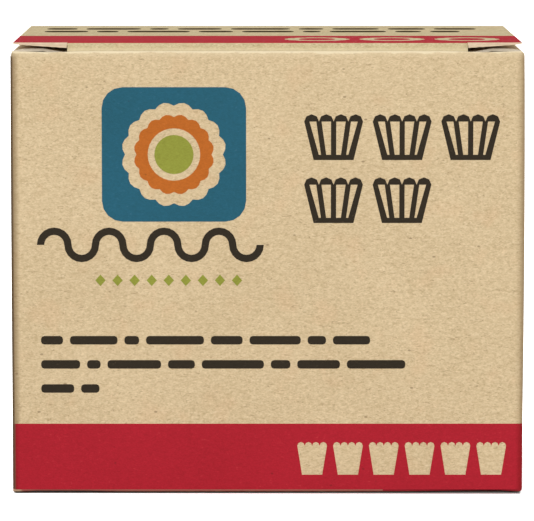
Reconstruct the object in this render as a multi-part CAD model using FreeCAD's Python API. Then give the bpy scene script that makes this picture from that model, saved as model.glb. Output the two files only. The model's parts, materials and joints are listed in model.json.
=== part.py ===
import FreeCAD, Part
import math
import os
from FreeCAD import Vector

# Folding carton of kraft paperboard with a tucked lid, holding a nested stack of fluted baking cups.
# Millimetres. +X is to the right, the front panel faces -Y, +Z is up, and z = 0 is what the carton stands on.

# Carton
WIDTH = 84.0            # outside, left to right
DEPTH = 54.0            # outside, front to back
HEIGHT = 72.8           # up to the front panel's top edge
BOARD = 0.45            # thickness of the paperboard
FOLD_RADIUS = 0.8       # outside of the upright folds and the dust flaps' folds
BOTTOM_RADIUS = 0.5     # outside of the bottom folds
SEAM_STEP = 0.25        # the front panel's raw left edge stops this far short of the left side
GLUE_FLAP = 12.0        # width of the flap glued behind the front panel
GLUE_BEVEL = 3.0        # slant at the glue flap's two ends
BOTTOM_SHORT = 1.2      # the outer bottom flap stops this far short of the back panel
MINOR_FLAP = 26.0       # length of the two side flaps inside the bottom
DUST_FLAP = 22.0        # length of the two dust flaps under the lid
SHOULDER = 9.0          # part of a dust flap that keeps its full depth
SHOULDER_CUT = 3.5      # how far its front edge steps back past the shoulder
DUST_BEVEL = 3.0        # slanted corners at a dust flap's free end

# Lid
LID_RISE = 0.95         # underside of the lid above the front panel's top edge
LID_SIDE_GAP = 0.5      # the lid is this much narrower at each side
LID_FRONT_GAP = 0.2     # its cut front edges stop this far behind the front face
SLIT = 9.3              # length of the slit at each end of the lid's front fold
FOLD_BAND_RADIUS = 0.65  # outside of the lid's front fold
TUCK_DROP = 12.95       # depth of the tuck flap below the hinge line
TUCK_CORNER = 7.0       # rounding of the tuck flap's lower corners
EAR_DROP = 0.6          # cut top edges of the tuck flap's ears, below the front panel's top
SWING_GAP = 0.25        # between the tuck flap's arc and the front panel
FLAP_GAP = 0.3          # between the tuck flap's arc and anything else that it passes
REST_GAP = 0.05         # between the back panel's top edge and the lid
LID_BACK_RADIUS = 0.36  # outside of the lid's back edge, at the crease

# Nested stack of fluted paper cups, lying on its side with the cups' bases to the front
CUP_BASE = 50.8         # diameter of a cup's flat base
CUP_SLANT = 31.75       # length of a cup's fluted wall, along the slope
FLUTES = 40
RIM_FLUTE = 1.5         # depth of the flutes at the rim
BASE_FLUTE = 0.3        # depth of the flutes at the base
STACK_SIDE_GAP = 0.45
STACK_LOWER_GAP = 0.2
STACK_BACK_GAP = 0.3
STACK_FRONT_GAP = 0.6   # behind the tuck flap's lower edge
STACK_SKIN = 0.15       # paper left at the mouth of the last cup

# Print: thin fields of colour on the board
INK = 0.03
BAND_TOP = 11.45        # top of the red band
SEAM_BLEED = 0.3        # bare board beside the raw edge at the seam
STRIPE_DEPTH = 19.8     # red stripe on the lid, measured back from its cut front edge
DRAWN_FOOT = 0.68       # foot of a drawn cup, as a share of its rim
DRAWN_VALLEY = 0.93     # valleys of a rosette's edge, as a share of its radius
CURVE_STEPS = 4         # straight steps in a drawn scallop, lobe or round corner
CIRCLE_STEPS = 32
WAVE_STEPS = 10         # straight steps in half a ring
BAR_STEPS = 2
BAND_CUPS = 6           # bare cup shapes left out of the band
BAND_CUP_PITCH = 5.9
BAND_CUP_FROM_RIGHT = 2.7
BAND_CUP_BOTTOM = 2.95
BAND_CUP_HEIGHT = 5.45
BAND_CUP_WIDTH = 4.9
BAND_CUP_SCALLOPS = 4
TILE_FROM_LEFT = 26.7   # centre of the emblem
TILE_FROM_TOP = 16.9
TILE_WIDTH = 23.6
TILE_HEIGHT = 22.05
TILE_CORNER = 3.4
ROSETTE_LOBES = 16
ROSETTE_RADIUS = 8.6    # bare rosette in the tile
RING_RADIUS = 6.6       # orange rosette inside it
RING_HOLE = 4.3
DISC_RADIUS = 3.2       # green disc in the middle
WAVE_FROM_LEFT = 22.8   # centre of the wavy line below the emblem
WAVE_FROM_TOP = 31.75
WAVE_RADIUS = 2.25
WAVE_STROKE = 1.2
WAVE_ARCS = 8
LOZENGE_FROM_LEFT = 25.8  # middle of the row of lozenges below the wavy line
LOZENGE_FROM_TOP = 37.6
LOZENGE_PITCH = 2.8
LOZENGE_WIDTH = 1.7
LOZENGE_HEIGHT = 1.9
LOZENGES = 9
CUP_ART_FROM_RIGHT = 36.0  # left end and top of the line drawings of cups
CUP_ART_FROM_TOP = 10.3
CUP_ART_ROWS = (3, 2)
CUP_ART_PITCH = 11.2
CUP_ART_ROW = 10.35
CUP_ART_WIDTH = 9.6
CUP_ART_HEIGHT = 7.5
CUP_ART_STROKE = 0.85
CUP_ART_PANES = 4
BAR_ROUNDING = 0.35     # corner radius of a bar, as a share of its height
BAR_FROM_LEFT = 4.8     # rows of short bars in place of small lettering
BAR_TOP_ROW = 25.3      # height of the middle of the first row
BAR_ROW = 4.0
BAR_HEIGHT = 1.4
BAR_GAP = 1.15
BAR_ROWS = ((3.6, 7.8, 2.4, 9.5, 5.2, 8.4, 3.0, 6.1), (6.4, 2.2, 8.8, 4.4, 10.2, 3.2, 7.0, 9.6), (5.4, 3.0))
LID_BAR_FROM_LEFT = 3.4
LID_BAR_FROM_BACK = 11.2  # middle of the back row
LID_BAR_ROW = 8.8
LID_BAR_HEIGHT = 4.2
LID_BAR_GAP = 1.6
LID_BAR_ROWS = ((5.2, 9.4, 3.2, 7.6, 10.2, 4.2, 8.0, 6.4, 7.2), (7.4, 3.6, 10.6, 5.8, 8.8, 3.0, 9.6, 4.4, 5.0))
LID_ROSETTES = 3
LID_ROSETTE_RADIUS = 5.6
LID_ROSETTE_PITCH = 12.4
LID_ROSETTE_FROM_RIGHT = 2.9
LID_ROSETTE_HOLE = 3.0

TOUCH = 1e-6            # places closer together than this are the same

# Worked out from the sizes above
FLOOR = 3 * BOARD
HINGE_Z = HEIGHT + LID_RISE
LID_TOP = HINGE_Z + BOARD
UP = Vector(0, 0, 1)
REARWARD = Vector(0, 1, 0)
FRONT = -DEPTH / 2
BACK = DEPTH / 2
TUCK_OUTER = DEPTH - BOARD - SWING_GAP      # radii of the tuck flap about the hinge line
TUCK_INNER = TUCK_OUTER - BOARD
DUST_FRONT = BACK - (TUCK_INNER - FLAP_GAP)
DUST_BACK = BACK - BOARD - FLAP_GAP
LID_HALF = WIDTH / 2 - LID_SIDE_GAP
LID_FRONT = FRONT + LID_FRONT_GAP
FOLD_HALF = WIDTH / 2 - SLIT
FOLD_Y = BACK - TUCK_OUTER + FOLD_BAND_RADIUS
EAR_HALF = WIDTH / 2 - BOARD - STACK_SIDE_GAP - FLAP_GAP
TILE_X = -WIDTH / 2 + TILE_FROM_LEFT
TILE_Z = HEIGHT - TILE_FROM_TOP


def box(x0, y0, z0, x1, y1, z1):
    return Part.makeBox(x1 - x0, y1 - y0, z1 - z0, Vector(x0, y0, z0))


def upright_edges(shape, corners):
    """The upright edges of a shape that stand at the given (x, y) corners."""
    found = []
    for edge in shape.Edges:
        ends = [vertex.Point for vertex in edge.Vertexes]
        for x, y in corners:
            if all(abs(end.x - x) < TOUCH and abs(end.y - y) < TOUCH for end in ends):
                found.append(edge)
    return found


def arc(start, middle, end):
    return Part.Arc(start, middle, end).toShape()


def solid_of(wire, direction):
    return Part.Face(wire).extrude(direction)


def rounded_block(x0, y0, z0, x1, y1, z1, radius):
    """Box with three round upright corners: the front-left one stays square."""
    block = box(x0, y0, z0, x1, y1, z1)
    return block.makeFillet(radius, upright_edges(block, ((x1, y0), (x1, y1), (x0, y1))))


def edge_round(radius, corner, along, out_a, out_b):
    """Tool that rounds the outer edge that runs from corner by the vector along, outside at out_a and out_b."""
    centre = corner - (out_a + out_b) * radius
    reach = radius + BOARD
    points = [centre, centre + out_a * reach, centre + (out_a + out_b) * reach, centre + out_b * reach]
    square = solid_of(Part.makePolygon(points + points[:1]), along)
    return square.cut(Part.makeCylinder(radius, along.Length, centre, along))


# Carton body

def carton_walls():
    half = WIDTH / 2
    inner_radius = FOLD_RADIUS - BOARD
    outside = rounded_block(-half, FRONT, 0, half, BACK, HEIGHT, FOLD_RADIUS)
    inside = rounded_block(-half + BOARD, FRONT + BOARD, FLOOR, half - BOARD, BACK - BOARD,
                           HEIGHT + BOARD, inner_radius)
    walls = outside.cut(inside)
    # the front panel's raw edge, with the left side panel folding away behind it
    walls = walls.cut(box(-half, FRONT, 0, -half + SEAM_STEP, FRONT + BOARD, HEIGHT))
    seam_corner = Vector(-half, FRONT + BOARD, 0)
    return walls.cut(edge_round(SEAM_STEP, seam_corner, UP * HEIGHT, Vector(-1, 0, 0), -REARWARD))


def glue_flap():
    """Strip of the left side panel's edge, glued behind the front panel, with slanted ends."""
    left = -WIDTH / 2 + BOARD
    y = FRONT + BOARD
    reach = TUCK_OUTER + FLAP_GAP
    top = HINGE_Z - math.sqrt(reach ** 2 - (DEPTH - 2 * BOARD) ** 2)
    points = [Vector(left, y, FLOOR), Vector(left + GLUE_FLAP, y, FLOOR + GLUE_BEVEL),
              Vector(left + GLUE_FLAP, y, top - GLUE_BEVEL), Vector(left, y, top)]
    return solid_of(Part.makePolygon(points + points[:1]), Vector(0, BOARD, 0))


def dust_flap(side):
    """Flap folded in from a side panel's top edge: a full shoulder at the fold, then a narrower tongue."""
    root = WIDTH / 2 - BOARD / 2
    tip = WIDTH / 2 - DUST_FLAP
    shoulder = WIDTH / 2 - SHOULDER
    tongue_front = DUST_FRONT + SHOULDER_CUT
    outline = [(root, DUST_FRONT), (shoulder, DUST_FRONT), (shoulder - SHOULDER_CUT / 2, tongue_front),
               (tip + DUST_BEVEL, tongue_front), (tip, tongue_front + DUST_BEVEL),
               (tip, DUST_BACK - DUST_BEVEL), (tip + DUST_BEVEL, DUST_BACK), (root, DUST_BACK)]
    points = [Vector(side * x, y, HEIGHT - BOARD) for x, y in outline]
    return solid_of(Part.makePolygon(points + points[:1]), Vector(0, 0, BOARD))


def carton_body():
    half = WIDTH / 2
    body = carton_walls()
    body = body.fuse([glue_flap(), dust_flap(1), dust_flap(-1)])
    # the back panel reaches up to the hinge line
    back_half = half - FOLD_RADIUS
    body = body.fuse(box(-back_half, BACK - BOARD, HEIGHT - BOARD, back_half, BACK, HINGE_Z - REST_GAP))
    # rounded folds at the dust flaps and round the bottom
    across = Vector(2 * half, 0, 0)
    backward = Vector(0, DEPTH, 0)
    tools = []
    for side in (-1, 1):
        out = Vector(side, 0, 0)
        tools.append(edge_round(FOLD_RADIUS, Vector(side * half, FRONT, HEIGHT), backward, out, UP))
        tools.append(edge_round(BOTTOM_RADIUS, Vector(side * half, FRONT, 0), backward, out, -UP))
    tools.append(edge_round(BOTTOM_RADIUS, Vector(-half, FRONT, 0), across, -REARWARD, -UP))
    # at the back the outer bottom flap stops short, and the back panel folds in above it
    tools.append(box(-half, BACK - BOTTOM_SHORT, 0, half, BACK, BOARD))
    tools.append(edge_round(BOTTOM_RADIUS, Vector(-half, BACK, BOARD), across, REARWARD, -UP))
    # between the two side flaps the floor is one board lower
    middle = half - MINOR_FLAP
    tools.append(box(-middle, FRONT + BOARD, FLOOR - BOARD, middle, BACK - BOARD, FLOOR))
    return body.cut(tools).removeSplitter()


# Lid

def swing_point(x, radius, drop):
    """Point on the tuck flap's arc about the hinge line, a given drop below it."""
    return Vector(x, BACK - math.sqrt(radius ** 2 - drop ** 2), HINGE_Z - drop)


def fold_and_tuck(half, cut_drop):
    """Front fold and tuck flap between x = -half and half, with its top cut off down to cut_drop."""
    x = -half
    inner_radius = FOLD_BAND_RADIUS - BOARD
    fold_drop = inner_radius
    centre = Vector(x, FOLD_Y, HINGE_Z - inner_radius)
    slope = math.sqrt(0.5)
    outer_top = Vector(x, FOLD_Y, LID_TOP)
    inner_top = Vector(x, FOLD_Y, HINGE_Z)
    outer_start = swing_point(x, TUCK_OUTER, fold_drop)
    inner_start = swing_point(x, TUCK_INNER, fold_drop)
    outer_mid = centre + Vector(0, -slope, slope) * FOLD_BAND_RADIUS
    inner_mid = centre + Vector(0, -slope, slope) * inner_radius
    lower_drop = TUCK_DROP
    middle_drop = (fold_drop + lower_drop) / 2
    outer_end = swing_point(x, TUCK_OUTER, lower_drop)
    inner_end = swing_point(x, TUCK_INNER, lower_drop)
    edges = [arc(outer_top, outer_mid, outer_start),
             arc(outer_start, swing_point(x, TUCK_OUTER, middle_drop), outer_end),
             Part.makeLine(outer_end, inner_end),
             arc(inner_end, swing_point(x, TUCK_INNER, middle_drop), inner_start),
             arc(inner_start, inner_mid, inner_top),
             Part.makeLine(inner_top, outer_top)]
    strip = solid_of(Part.Wire(edges), Vector(2 * half, 0, 0))
    if not cut_drop:
        return strip
    return strip.cut(box(-half, FRONT, HINGE_Z - cut_drop, half, BACK, LID_TOP + BOARD))


def lid():
    panel = box(-LID_HALF, FOLD_Y, HINGE_Z, LID_HALF, BACK, LID_TOP)
    ends = [box(FOLD_HALF, LID_FRONT, HINGE_Z, LID_HALF, FOLD_Y, LID_TOP),
            box(-LID_HALF, LID_FRONT, HINGE_Z, -FOLD_HALF, FOLD_Y, LID_TOP)]
    ears = fold_and_tuck(EAR_HALF, LID_RISE + EAR_DROP)
    whole = panel.fuse(ends + [fold_and_tuck(FOLD_HALF, 0), ears])
    across = Vector(2 * LID_HALF, 0, 0)
    tools = [edge_round(LID_BACK_RADIUS, Vector(-LID_HALF, BACK, LID_TOP), across, REARWARD, UP)]
    for side in (-1, 1):
        corner = Vector(side * EAR_HALF, FRONT, HINGE_Z - TUCK_DROP)
        tools.append(edge_round(TUCK_CORNER, corner, Vector(0, DEPTH / 2, 0), Vector(side, 0, 0), -UP))
    return whole.cut(tools).removeSplitter()


# Stack of nested cups

def flute_ring(y, centre_z, half_x, half_z, depth):
    """Zigzag round the stack's axis: one ridge and one groove for each flute."""
    points = []
    for step in range(2 * FLUTES):
        angle = math.pi * step / FLUTES
        inset = depth * (step % 2)
        x = (half_x - inset) * math.cos(angle)
        z = centre_z + (half_z - inset) * math.sin(angle)
        points.append(Vector(x, y, z))
    return points


def fluted_wall(ring, other):
    """Flat triangles between two rings with the same number of points."""
    faces = []
    for index in range(len(ring)):
        after = (index + 1) % len(ring)
        for corners in ((ring[index], ring[after], other[after]), (ring[index], other[after], other[index])):
            faces.append(Part.Face(Part.makePolygon(corners + corners[:1])))
    return faces


def liner_stack():
    half_x = WIDTH / 2 - BOARD - STACK_SIDE_GAP
    half_z = (HEIGHT - BOARD - FLOOR) / 2 - STACK_LOWER_GAP
    centre_z = FLOOR + STACK_LOWER_GAP + half_z
    base = CUP_BASE / 2
    flare = (half_x + half_z) / 2 - base
    cup_height = math.sqrt(CUP_SLANT ** 2 - flare ** 2)
    front = swing_point(0, TUCK_INNER, TUCK_DROP).y + STACK_FRONT_GAP
    back = BACK - BOARD - STACK_BACK_GAP
    inner_base = base - STACK_SKIN
    first_base = flute_ring(front, centre_z, base, base, BASE_FLUTE)
    first_rim = flute_ring(front + cup_height, centre_z, half_x, half_z, RIM_FLUTE)
    last_rim = flute_ring(back, centre_z, half_x, half_z, RIM_FLUTE)
    mouth = flute_ring(back, centre_z, half_x - STACK_SKIN, half_z - STACK_SKIN, RIM_FLUTE)
    last_base = flute_ring(back - cup_height, centre_z, inner_base, inner_base, BASE_FLUTE)
    faces = fluted_wall(first_base, first_rim) + fluted_wall(first_rim, last_rim)
    faces += fluted_wall(last_rim, mouth) + fluted_wall(mouth, last_base)
    for ring in (first_base, last_base):
        faces.append(Part.Face(Part.makePolygon(ring + ring[:1])))
    return Part.makeSolid(Part.makeShell(faces))


# Print: every shape is an outline on the front panel or on the lid's top, given the ink's thickness.
# A place on the front panel is (x, z), and on the lid (x, y).

def ink(outline, on_lid=False):
    points = [Vector(x, up, LID_TOP) if on_lid else Vector(x, FRONT, up) for x, up in outline]
    face = Part.Face(Part.makePolygon(points + points[:1]))
    return face.extrude(UP * INK if on_lid else REARWARD * -INK)


def rectangle(x0, x1, low, high):
    return [(x0, low), (x1, low), (x1, high), (x0, high)]


def round_points(x, up, radius, start, turn, steps):
    """Points on a stretch of a circle: start and turn are angles."""
    angles = [start + turn * step / steps for step in range(steps + 1)]
    return [(x + radius * math.cos(angle), up + radius * math.sin(angle)) for angle in angles]


def circle(x, up, radius):
    return round_points(x, up, radius, 0, 2 * math.pi, CIRCLE_STEPS)[:-1]


def rounded_rectangle(x0, x1, low, high, radius, steps):
    quarter = math.pi / 2
    centres = ((x1 - radius, high - radius), (x0 + radius, high - radius),
               (x0 + radius, low + radius), (x1 - radius, low + radius))
    points = []
    for corner, (x, up) in enumerate(centres):
        points += round_points(x, up, radius, corner * quarter, quarter, steps)
    return points


def rosette(x, up, radius):
    """A cup seen from above: a circle whose edge is a row of shallow round lobes."""
    count = ROSETTE_LOBES * CURVE_STEPS
    points = []
    for step in range(count):
        angle = 2 * math.pi * step / count
        lobe = abs(math.sin(angle * ROSETTE_LOBES / 2))
        reach = radius * (DRAWN_VALLEY + (1 - DRAWN_VALLEY) * lobe)
        points.append((x + reach * math.cos(angle), up + reach * math.sin(angle)))
    return points


def cup_outline(x, low, width, height, scallops):
    """A cup seen from the side: a flared body with a scalloped rim."""
    half = width / 2
    foot = half * DRAWN_FOOT
    radius = half / scallops
    rim = low + height - radius
    points = [(x - foot, low), (x + foot, low), (x + half, rim)]
    for index in range(scallops):
        centre = x + half - radius * (2 * index + 1)
        points += round_points(centre, rim, radius, 0, math.pi, CURVE_STEPS)[1:]
    return points


def cup_drawing(x, low):
    """Line drawing of a cup: its outline with the panes between the flutes left bare."""
    step = CUP_ART_WIDTH / CUP_ART_PANES
    base = low + CUP_ART_STROKE
    rim = low + CUP_ART_HEIGHT - step / 2
    panes = []
    for index in range(CUP_ART_PANES):
        left = -CUP_ART_WIDTH / 2 + index * step
        right = left + step
        from_left = CUP_ART_STROKE if index == 0 else CUP_ART_STROKE / 2
        from_right = CUP_ART_STROKE if index == CUP_ART_PANES - 1 else CUP_ART_STROKE / 2
        panes.append(ink([(x + left * DRAWN_FOOT + from_left, base), (x + right * DRAWN_FOOT - from_right, base),
                          (x + right - from_right, rim), (x + left + from_left, rim)]))
    return ink(cup_outline(x, low, CUP_ART_WIDTH, CUP_ART_HEIGHT, CUP_ART_PANES)).cut(panes)


def band_cups():
    cups = []
    for index in range(BAND_CUPS):
        x = WIDTH / 2 - BAND_CUP_FROM_RIGHT - BAND_CUP_WIDTH / 2 - index * BAND_CUP_PITCH
        cups.append(ink(cup_outline(x, BAND_CUP_BOTTOM, BAND_CUP_WIDTH, BAND_CUP_HEIGHT, BAND_CUP_SCALLOPS)))
    return cups


def red_band():
    """Band round the foot of the carton, starting and ending at the seam, with bare cups at the right."""
    half = WIDTH / 2
    over = rounded_block(-half - INK, FRONT - INK, BOTTOM_RADIUS, half + INK, BACK + INK, BAND_TOP,
                         FOLD_RADIUS + INK)
    under = rounded_block(-half, FRONT, 0, half, BACK, HEIGHT, FOLD_RADIUS)
    seam_end = SEAM_STEP + SEAM_BLEED
    seam = box(-half - INK, FRONT - INK, 0, -half + seam_end, FRONT + BOARD + seam_end, HEIGHT)
    back_fold = box(-half - INK, BACK - FOLD_RADIUS, 0, half + INK, BACK + INK, BOARD + BOTTOM_RADIUS)
    return over.cut([under, seam, back_fold] + band_cups())


def teal_tile():
    tile = ink(rounded_rectangle(TILE_X - TILE_WIDTH / 2, TILE_X + TILE_WIDTH / 2, TILE_Z - TILE_HEIGHT / 2,
                                 TILE_Z + TILE_HEIGHT / 2, TILE_CORNER, CURVE_STEPS))
    return tile.cut(ink(rosette(TILE_X, TILE_Z, ROSETTE_RADIUS)))


def orange_ring():
    return ink(rosette(TILE_X, TILE_Z, RING_RADIUS)).cut(ink(circle(TILE_X, TILE_Z, RING_HOLE)))


def green_shapes():
    """Disc in the middle of the emblem, and the row of lozenges."""
    shapes = [ink(circle(TILE_X, TILE_Z, DISC_RADIUS))]
    up = HEIGHT - LOZENGE_FROM_TOP
    for index in range(LOZENGES):
        x = -WIDTH / 2 + LOZENGE_FROM_LEFT + (index - (LOZENGES - 1) / 2) * LOZENGE_PITCH
        shapes.append(ink([(x - LOZENGE_WIDTH / 2, up), (x, up - LOZENGE_HEIGHT / 2),
                           (x + LOZENGE_WIDTH / 2, up), (x, up + LOZENGE_HEIGHT / 2)]))
    return Part.makeCompound(shapes)


def wavy_line():
    """Half rings, turned up and down by turns and joined end to end, as one outline."""
    outer = WAVE_RADIUS + WAVE_STROKE / 2
    inner = WAVE_RADIUS - WAVE_STROKE / 2
    up = HEIGHT - WAVE_FROM_TOP
    above, below = [], []
    for index in range(WAVE_ARCS):
        x = -WIDTH / 2 + WAVE_FROM_LEFT + (index - (WAVE_ARCS - 1) / 2) * 2 * WAVE_RADIUS
        upward = index % 2 == 0
        turn = -math.pi if upward else math.pi
        first = 0 if index == 0 else 1
        above += round_points(x, up, outer if upward else inner, math.pi, turn, WAVE_STEPS)[first:]
        below += round_points(x, up, inner if upward else outer, math.pi, turn, WAVE_STEPS)[first:]
    return ink(above + below[::-1])


def bar_row(left, middle, height, gap, lengths, on_lid=False):
    bars = []
    x = left
    for length in lengths:
        bars.append(ink(rounded_rectangle(x, x + length, middle - height / 2, middle + height / 2,
                                          height * BAR_ROUNDING, BAR_STEPS), on_lid))
        x += length + gap
    return bars


def brown_shapes():
    """Wavy line, cup drawings and the rows of bars."""
    shapes = [wavy_line()]
    art_left = WIDTH / 2 - CUP_ART_FROM_RIGHT
    for row, count in enumerate(CUP_ART_ROWS):
        low = HEIGHT - CUP_ART_FROM_TOP - CUP_ART_HEIGHT - row * CUP_ART_ROW
        for index in range(count):
            shapes.append(cup_drawing(art_left + CUP_ART_WIDTH / 2 + index * CUP_ART_PITCH, low))
    for row, lengths in enumerate(BAR_ROWS):
        shapes += bar_row(-WIDTH / 2 + BAR_FROM_LEFT, BAR_TOP_ROW - row * BAR_ROW, BAR_HEIGHT, BAR_GAP, lengths)
    return Part.makeCompound(shapes)


def lid_stripe():
    """Red stripe up to the lid's front fold, and to its cut edge beside the fold, with bare rosettes."""
    field = ink(rectangle(-LID_HALF, LID_HALF, FOLD_Y, LID_FRONT + STRIPE_DEPTH), True)
    ends = [ink(rectangle(FOLD_HALF, LID_HALF, LID_FRONT, FOLD_Y), True),
            ink(rectangle(-LID_HALF, -FOLD_HALF, LID_FRONT, FOLD_Y), True)]
    middle = LID_FRONT + STRIPE_DEPTH / 2
    bare = []
    for index in range(LID_ROSETTES):
        x = LID_HALF - LID_ROSETTE_FROM_RIGHT - LID_ROSETTE_RADIUS - index * LID_ROSETTE_PITCH
        whole = ink(rosette(x, middle, LID_ROSETTE_RADIUS), True)
        bare.append(whole.cut(ink(circle(x, middle, LID_ROSETTE_HOLE), True)))
    return field.fuse(ends).removeSplitter().cut(bare)


def lid_bars():
    bars = []
    for row, lengths in enumerate(LID_BAR_ROWS):
        middle = BACK - LID_BAR_FROM_BACK - row * LID_BAR_ROW
        bars += bar_row(-LID_HALF + LID_BAR_FROM_LEFT, middle, LID_BAR_HEIGHT, LID_BAR_GAP, lengths, True)
    return Part.makeCompound(bars)


NODES = {
    "carton_body": carton_body,
    "lid": lid,
    "liner_stack": liner_stack,
    "red_band": red_band,
    "teal_tile": teal_tile,
    "orange_ring": orange_ring,
    "green_shapes": green_shapes,
    "brown_shapes": brown_shapes,
    "lid_stripe": lid_stripe,
    "lid_bars": lid_bars,
}

os.makedirs("parts", exist_ok=True)
for name, make in NODES.items():
    shape = make()
    shape.exportStep("parts/" + name + ".step")
    bounds = shape.BoundBox
    print(name, "solids", len(shape.Solids), "faces", len(shape.Faces), "valid", shape.isValid(),
          "volume", round(shape.Volume, 2), "x", round(bounds.XMin, 2), round(bounds.XMax, 2),
          "y", round(bounds.YMin, 2), round(bounds.YMax, 2), "z", round(bounds.ZMin, 2), round(bounds.ZMax, 2))
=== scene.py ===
import json
import math
import random

import bmesh
import bpy
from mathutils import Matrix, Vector, noise


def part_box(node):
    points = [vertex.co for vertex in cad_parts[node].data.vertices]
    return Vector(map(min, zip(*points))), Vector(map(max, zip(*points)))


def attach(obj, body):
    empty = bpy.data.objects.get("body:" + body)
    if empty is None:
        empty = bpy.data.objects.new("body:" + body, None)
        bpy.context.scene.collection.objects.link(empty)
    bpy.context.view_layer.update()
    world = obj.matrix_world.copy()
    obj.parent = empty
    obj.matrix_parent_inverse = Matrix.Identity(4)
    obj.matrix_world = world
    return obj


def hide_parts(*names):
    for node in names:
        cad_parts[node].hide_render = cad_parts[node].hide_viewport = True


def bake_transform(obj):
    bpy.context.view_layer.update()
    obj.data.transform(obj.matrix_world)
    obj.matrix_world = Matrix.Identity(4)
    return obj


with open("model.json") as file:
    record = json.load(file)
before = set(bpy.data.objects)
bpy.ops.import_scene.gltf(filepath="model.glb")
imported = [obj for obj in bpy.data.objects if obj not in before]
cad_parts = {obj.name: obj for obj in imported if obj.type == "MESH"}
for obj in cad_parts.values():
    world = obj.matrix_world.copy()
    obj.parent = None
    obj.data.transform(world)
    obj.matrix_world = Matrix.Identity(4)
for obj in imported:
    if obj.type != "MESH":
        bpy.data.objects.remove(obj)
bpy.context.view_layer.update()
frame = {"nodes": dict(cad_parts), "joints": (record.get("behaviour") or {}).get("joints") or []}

# Sizes in millimetres, turned into metres where meshes and materials are made.
MM = 0.001
body_low, body_high = [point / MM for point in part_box("carton_body")]
lid_low, lid_high = [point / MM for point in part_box("lid")]
stack_low, stack_high = [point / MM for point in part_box("liner_stack")]
band_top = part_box("red_band")[1].z / MM
hinge = Vector(frame["joints"][0]["pos_m"]) / MM

# The carton's walls
BOARD = 0.45                    # thickness
HALF = body_high.x
FRONT = body_low.y
BACK = body_high.y
LID_RISE = 0.95                 # of the hinge line over the front panel
TOP = hinge.z - LID_RISE        # top edge of the front panel
FOLD = 0.8                      # outside radius of the upright folds and the dust flaps' folds
MID_FOLD = HALF - FOLD / 2      # middle of the side folds
FLAT_HALF = HALF - FOLD         # where the panels' flat parts end
FLAT_FRONT = FRONT + FOLD
FLAT_BACK = BACK - FOLD
BOTTOM_FOLD = 0.5
SIDE_TOP = TOP - FOLD
SIDE_START = -24.0              # first line of the side panels behind the dust flaps' front edges
CREASE = 0.8                    # how far the crease strip reaches into the back panel and the lid
BACK_TOP = hinge.z - CREASE
BACK_FOOT = BOARD               # the back panel ends on the outer bottom flap

# The raw left edge of the front panel and the flap glued behind it
SEAM_STEP = 0.25                # the edge stands in from the side panel
RAW_STRIP = 0.7                 # width of the strip before the front's even columns start
SEAM_FOLD = 0.2                 # radius of the bottom fold there
SEAM_DROP = 0.1                 # the hidden fold's top falls by this and falls again
SEAM_END = 1.2                  # the hidden fold ends this far in
SEAM_FLAP = 12.0
SEAM_FLAP_START = 1.0
SEAM_FLAP_TOP = 66.4
SEAM_SLANT = 3.0

# Bottom flaps
FLAP_SHORT = 1.2                # the outer flap ends this far before the back
INNER_FLAP = 36.0
MINOR_FLAP = 26.0
MINOR_GAP = 0.8                 # beside the two side flaps

# Dust flaps
DUST_FLAP = 22.0
DUST_FRONT = -25.55
DUST_BEVEL = 3.0
DUST_MIDDLE = 27.0
SHOULDER = 9.0                  # width of the full part at the fold
SHOULDER_CUT = 3.5              # the tongue's front edge lies this far behind it
SHOULDER_XS = (34.0, 35.2, 36.6, 38.6, 40.2)

# Lid and tuck flap
LID_TOP = lid_high.z
LID_HALF = lid_high.x
LID_END_XS = (35.0, 38.0)       # columns of points beyond the slits' inner ends
SLIT_END = HALF - 9.3           # inner end of the slits
FOLD_BAND = 0.65                # radius of the front fold
FOLD_DROP = 0.8                 # the fold has turned downwards there
TUCK_RADIUS = 53.3              # of the tuck flap about the hinge line
TUCK_DROP = hinge.z - lid_low.z
TUCK_CORNER = 7.0
EAR_HALF = 40.8                 # the tuck flap's ears reach out under the slits
EAR_DROP = 1.55                 # they start this far under the hinge line
EAR_LEAST = 0.9                 # and reach at least this far beyond the slits' inner ends
LID_CURL = 0.2                  # how far the front edge's underside rises towards the corners
FOLD_Y = BACK - TUCK_RADIUS + FOLD_BAND

# How finely the sheets are divided: steps of each fold, and parts of each flat stretch
CORNER_STEPS = 6
FOLD_STEPS = 4
LID_FOLD_STEPS = 6
CREASE_STEPS = 8
FRONT_PARTS = 28
SIDE_PARTS = 22
BACK_PARTS = 24
WALL_PARTS = 14
FLOOR_PARTS = 6
PANEL_PARTS = 16
SLIT_PARTS = 14
TUCK_PARTS = 12
TUCK_COLUMNS = 22
CREASE_PARTS = 40
EAR_SHARES = (0.0, 0.3, 0.6, 0.9, 1.0)
MERGE = 0.0005                  # points this close are one
SHARP_ANGLE = 38                # degrees, from which an edge isn't shaded smooth

# How the panels bow outwards
BULGE = 0.22                    # the side and back panels
FRONT_BOW = 0.17                # the front-right fold
SEAM_BOW = 0.05                 # the front-left fold
BOW_START = band_top + 0.6      # the band stays flat
BOW_FULLNESS = 0.7              # under 1, the bow is fuller towards its ends

# How the front panel's foot stands off the ground
FOOT_GAP = 0.05
FOOT_RISE_RIGHT = (20.0, 36.0, 0.22)    # from here, to here, by so much
FOOT_RISE_LEFT = (24.0, 31.0, 0.15)
FOOT_END = 3.0                  # it comes down again before the fold
LIFT_DEPTH = 9.0                # how far back the bottom follows it

# How the front panel's top edge is pressed down along the slits
SLIT_DIP = 0.06
END_DIP = 0.16                  # more at the slits' inner ends
DIP_CENTRE = SLIT_END + 1.5
DIP_REACH = 5.0
DIP_RUN = 3.0

# How the dust flaps spring up at the front and sink beside the tuck flap
SPRING = 0.36
SPRING_YS = (-18.0, -25.0)      # where it starts and is full
SPRING_RUN = 1.6                # it starts this far inside the fold
SINK_SHARE = 1.6                # over 1, they sink below the front panel's top edge
SINK_XS = (36.6, 33.4)

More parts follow.
